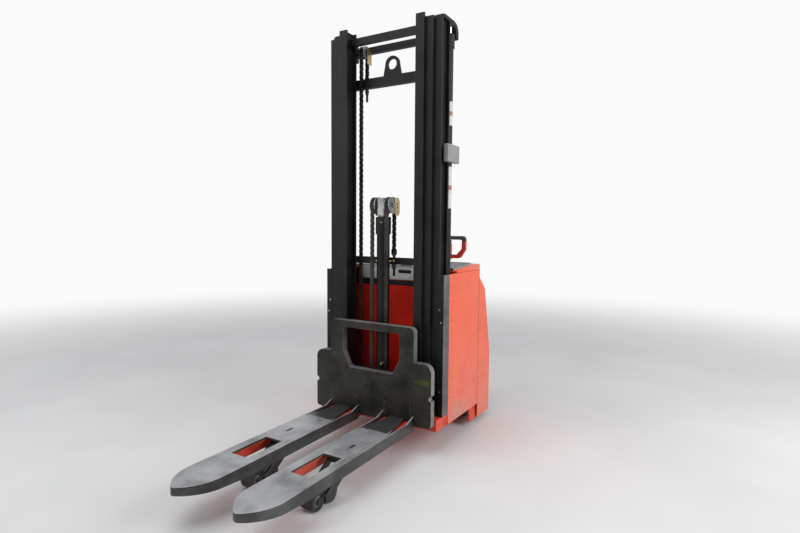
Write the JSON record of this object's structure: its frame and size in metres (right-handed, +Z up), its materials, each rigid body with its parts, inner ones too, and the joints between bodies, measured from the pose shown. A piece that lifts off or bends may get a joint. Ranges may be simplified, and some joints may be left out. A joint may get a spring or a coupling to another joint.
{
  "type": "pedestrian stacker with triplex mast",
  "caption": "Electric walk-behind stacker with hollow forks over support legs, telescopic mast with chains, battery body, rear drive unit and tiller.",
  "frame": {"origin": "on the floor, under the middle of the box round the stacker", "axes": "+X to the truck's right seen from behind the forks' tips, +Y from the fork tips to the tiller, +Z up"},
  "size_m": [0.8, 2.1, 2.366],
  "materials": {
    "bare_steel": "worn, scuffed",
    "black_steel": "worn dark paint",
    "black_paint": "satin",
    "roller_steel": "turned",
    "red_paint": "semi-gloss",
    "black_tyre": "matt",
    "chain_steel": "oiled",
    "yellow_zinc": "passivated zinc",
    "chrome_rod": "polished",
    "grey_plastic": "matt",
    "red_cover": "semi-gloss"
  },
  "bodies": {
    "drive_unit": {"drive_chassis": "red_paint", "drive_motor": "grey_plastic", "rear_cover": "red_cover"},
    "front_frame": {"base_frame": "red_paint", "push_rods": "roller_steel", "outer_mast": "black_paint", "side_cylinders": "black_paint", "valve_box": "grey_plastic", "side_panels": "red_paint", "compartment": "red_paint", "battery": "grey_plastic", "side_posts": "black_paint"},
    "hood_lid": {"hood": "red_paint"},
    "middle_stage": {"middle_mast": "black_paint", "mast_sheaves": "roller_steel", "sheave_guards": "yellow_zinc", "lift_rods": "chrome_rod", "mast_chain_rear": "chain_steel"},
    "inner_stage": {"inner_mast": "black_paint", "free_cylinder": "black_paint", "mast_chain_front": "chain_steel"},
    "free_head": {"lift_head": "roller_steel", "head_sheaves": "roller_steel", "free_chain_rear": "chain_steel"},
    "carriage": {"carriage_plate": "black_steel", "carriage_frame": "black_paint", "carriage_rollers": "roller_steel", "forks": "bare_steel", "free_chain_front": "chain_steel"},
    "drive_steer": {"drive_fork": "black_paint"},
    "drive_wheel": {"drive_wheel": "black_tyre"},
    "tiller_turn": {"tiller_base": "black_paint"},
    "tiller": {"tiller_arm": "red_cover"},
    "lever_right": {"lever_right": "black_paint"},
    "bogie_right": {"bogie_right": "black_paint"},
    "load_wheel_front_right": {"load_wheel_front_right": "black_tyre"},
    "load_wheel_rear_right": {"load_wheel_rear_right": "black_tyre"},
    "castor_fork_right": {"castor_fork_right": "roller_steel"},
    "castor_wheel_right": {"castor_wheel_right": "black_tyre"},
    "lever_left": {"lever_left": "black_paint"},
    "bogie_left": {"bogie_left": "black_paint"},
    "load_wheel_front_left": {"load_wheel_front_left": "black_tyre"},
    "load_wheel_rear_left": {"load_wheel_rear_left": "black_tyre"},
    "castor_fork_left": {"castor_fork_left": "roller_steel"},
    "castor_wheel_left": {"castor_wheel_left": "black_tyre"}
  },
  "joints": [
    {"name": "initial_lift", "type": "slide", "parent": "drive_unit", "child": "front_frame", "axis": [0, 0, 1], "range_m": [-0.1, 0]},
    {"name": "hood_hinge", "type": "hinge", "parent": "front_frame", "child": "hood_lid", "pos_m": [0, 0.709, 1.004], "axis": [-1, 0, 0], "range_deg": [0, 85]},
    {"name": "middle_lift", "type": "slide", "parent": "front_frame", "child": "middle_stage", "axis": [0, 0, 1], "range_m": [0, 1.4], "deforming": ["mast_chain_rear"]},
    {"name": "inner_lift", "type": "slide", "parent": "middle_stage", "child": "inner_stage", "axis": [0, 0, 1], "range_m": [0, 1.4], "deforming": ["mast_chain_front"]},
    {"name": "free_lift", "type": "slide", "parent": "inner_stage", "child": "free_head", "axis": [0, 0, 1], "range_m": [0, 0.8], "deforming": ["free_chain_rear"]},
    {"name": "carriage_lift", "type": "slide", "parent": "free_head", "child": "carriage", "axis": [0, 0, 1], "range_m": [0, 0.8], "deforming": ["free_chain_front"]},
    {"name": "drive_turn", "type": "hinge", "parent": "drive_unit", "child": "drive_steer", "pos_m": [0, 0.77, 0.115], "axis": [0, 0, 1], "range_deg": [-90, 90]},
    {"name": "drive_spin", "type": "hinge", "parent": "drive_steer", "child": "drive_wheel", "pos_m": [0, 0.77, 0.115], "axis": [1, 0, 0], "continuous": true},
    {"name": "tiller_yaw", "type": "hinge", "parent": "drive_unit", "child": "tiller_turn", "pos_m": [0, 0.972, 0.33], "axis": [0, 0, 1], "range_deg": [-90, 90]},
    {"name": "tiller_tilt", "type": "hinge", "parent": "tiller_turn", "child": "tiller", "pos_m": [0, 0.972, 0.4], "axis": [-1, 0, 0], "range_deg": [0, 75]},
    {"name": "lever_swing_right", "type": "hinge", "parent": "front_frame", "child": "lever_right", "pos_m": [0.182, -0.42703, 0.145], "axis": [1, 0, 0], "range_deg": [-34.42, 0.5]},
    {"name": "bogie_swing_right", "type": "hinge", "parent": "lever_right", "child": "bogie_right", "pos_m": [0.182, -0.575, 0.0425], "axis": [1, 0, 0], "range_deg": [-0.5, 34.42]},
    {"name": "spin_load_wheel_front_right", "type": "hinge", "parent": "bogie_right", "child": "load_wheel_front_right", "pos_m": [0.182, -0.62, 0.0425], "axis": [1, 0, 0], "continuous": true},
    {"name": "spin_load_wheel_rear_right", "type": "hinge", "parent": "bogie_right", "child": "load_wheel_rear_right", "pos_m": [0.182, -0.53, 0.0425], "axis": [1, 0, 0], "continuous": true},
    {"name": "castor_turn_right", "type": "hinge", "parent": "drive_unit", "child": "castor_fork_right", "pos_m": [0.27, 0.765, 0.15], "axis": [0, 0, 1], "continuous": true},
    {"name": "castor_spin_right", "type": "hinge", "parent": "castor_fork_right", "child": "castor_wheel_right", "pos_m": [0.27, 0.8, 0.0625], "axis": [1, 0, 0], "continuous": true},
    {"name": "lever_swing_left", "type": "hinge", "parent": "front_frame", "child": "lever_left", "pos_m": [-0.182, -0.42703, 0.145], "axis": [1, 0, 0], "range_deg": [-34.42, 0.5]},
    {"name": "bogie_swing_left", "type": "hinge", "parent": "lever_left", "child": "bogie_left", "pos_m": [-0.182, -0.575, 0.0425], "axis": [1, 0, 0], "range_deg": [-0.5, 34.42]},
    {"name": "spin_load_wheel_front_left", "type": "hinge", "parent": "bogie_left", "child": "load_wheel_front_left", "pos_m": [-0.182, -0.62, 0.0425], "axis": [1, 0, 0], "continuous": true},
    {"name": "spin_load_wheel_rear_left", "type": "hinge", "parent": "bogie_left", "child": "load_wheel_rear_left", "pos_m": [-0.182, -0.53, 0.0425], "axis": [1, 0, 0], "continuous": true},
    {"name": "castor_turn_left", "type": "hinge", "parent": "drive_unit", "child": "castor_fork_left", "pos_m": [-0.27, 0.765, 0.15], "axis": [0, 0, 1], "continuous": true},
    {"name": "castor_spin_left", "type": "hinge", "parent": "castor_fork_left", "child": "castor_wheel_left", "pos_m": [-0.27, 0.8, 0.0625], "axis": [1, 0, 0], "continuous": true}
  ],
  "couplings": [
    {"joint": "inner_lift", "follows": "middle_lift", "ratio": 1},
    {"joint": "carriage_lift", "follows": "free_lift", "ratio": 1},
    {"joint": "drive_turn", "follows": "tiller_yaw", "ratio": 1},
    {"joint": "lever_swing_right", "follows": "initial_lift", "rad_per_m": 5.9194},
    {"joint": "bogie_swing_right", "follows": "initial_lift", "rad_per_m": -5.9194},
    {"joint": "lever_swing_left", "follows": "initial_lift", "rad_per_m": 5.9194},
    {"joint": "bogie_swing_left", "follows": "initial_lift", "rad_per_m": -5.9194}
  ]
}
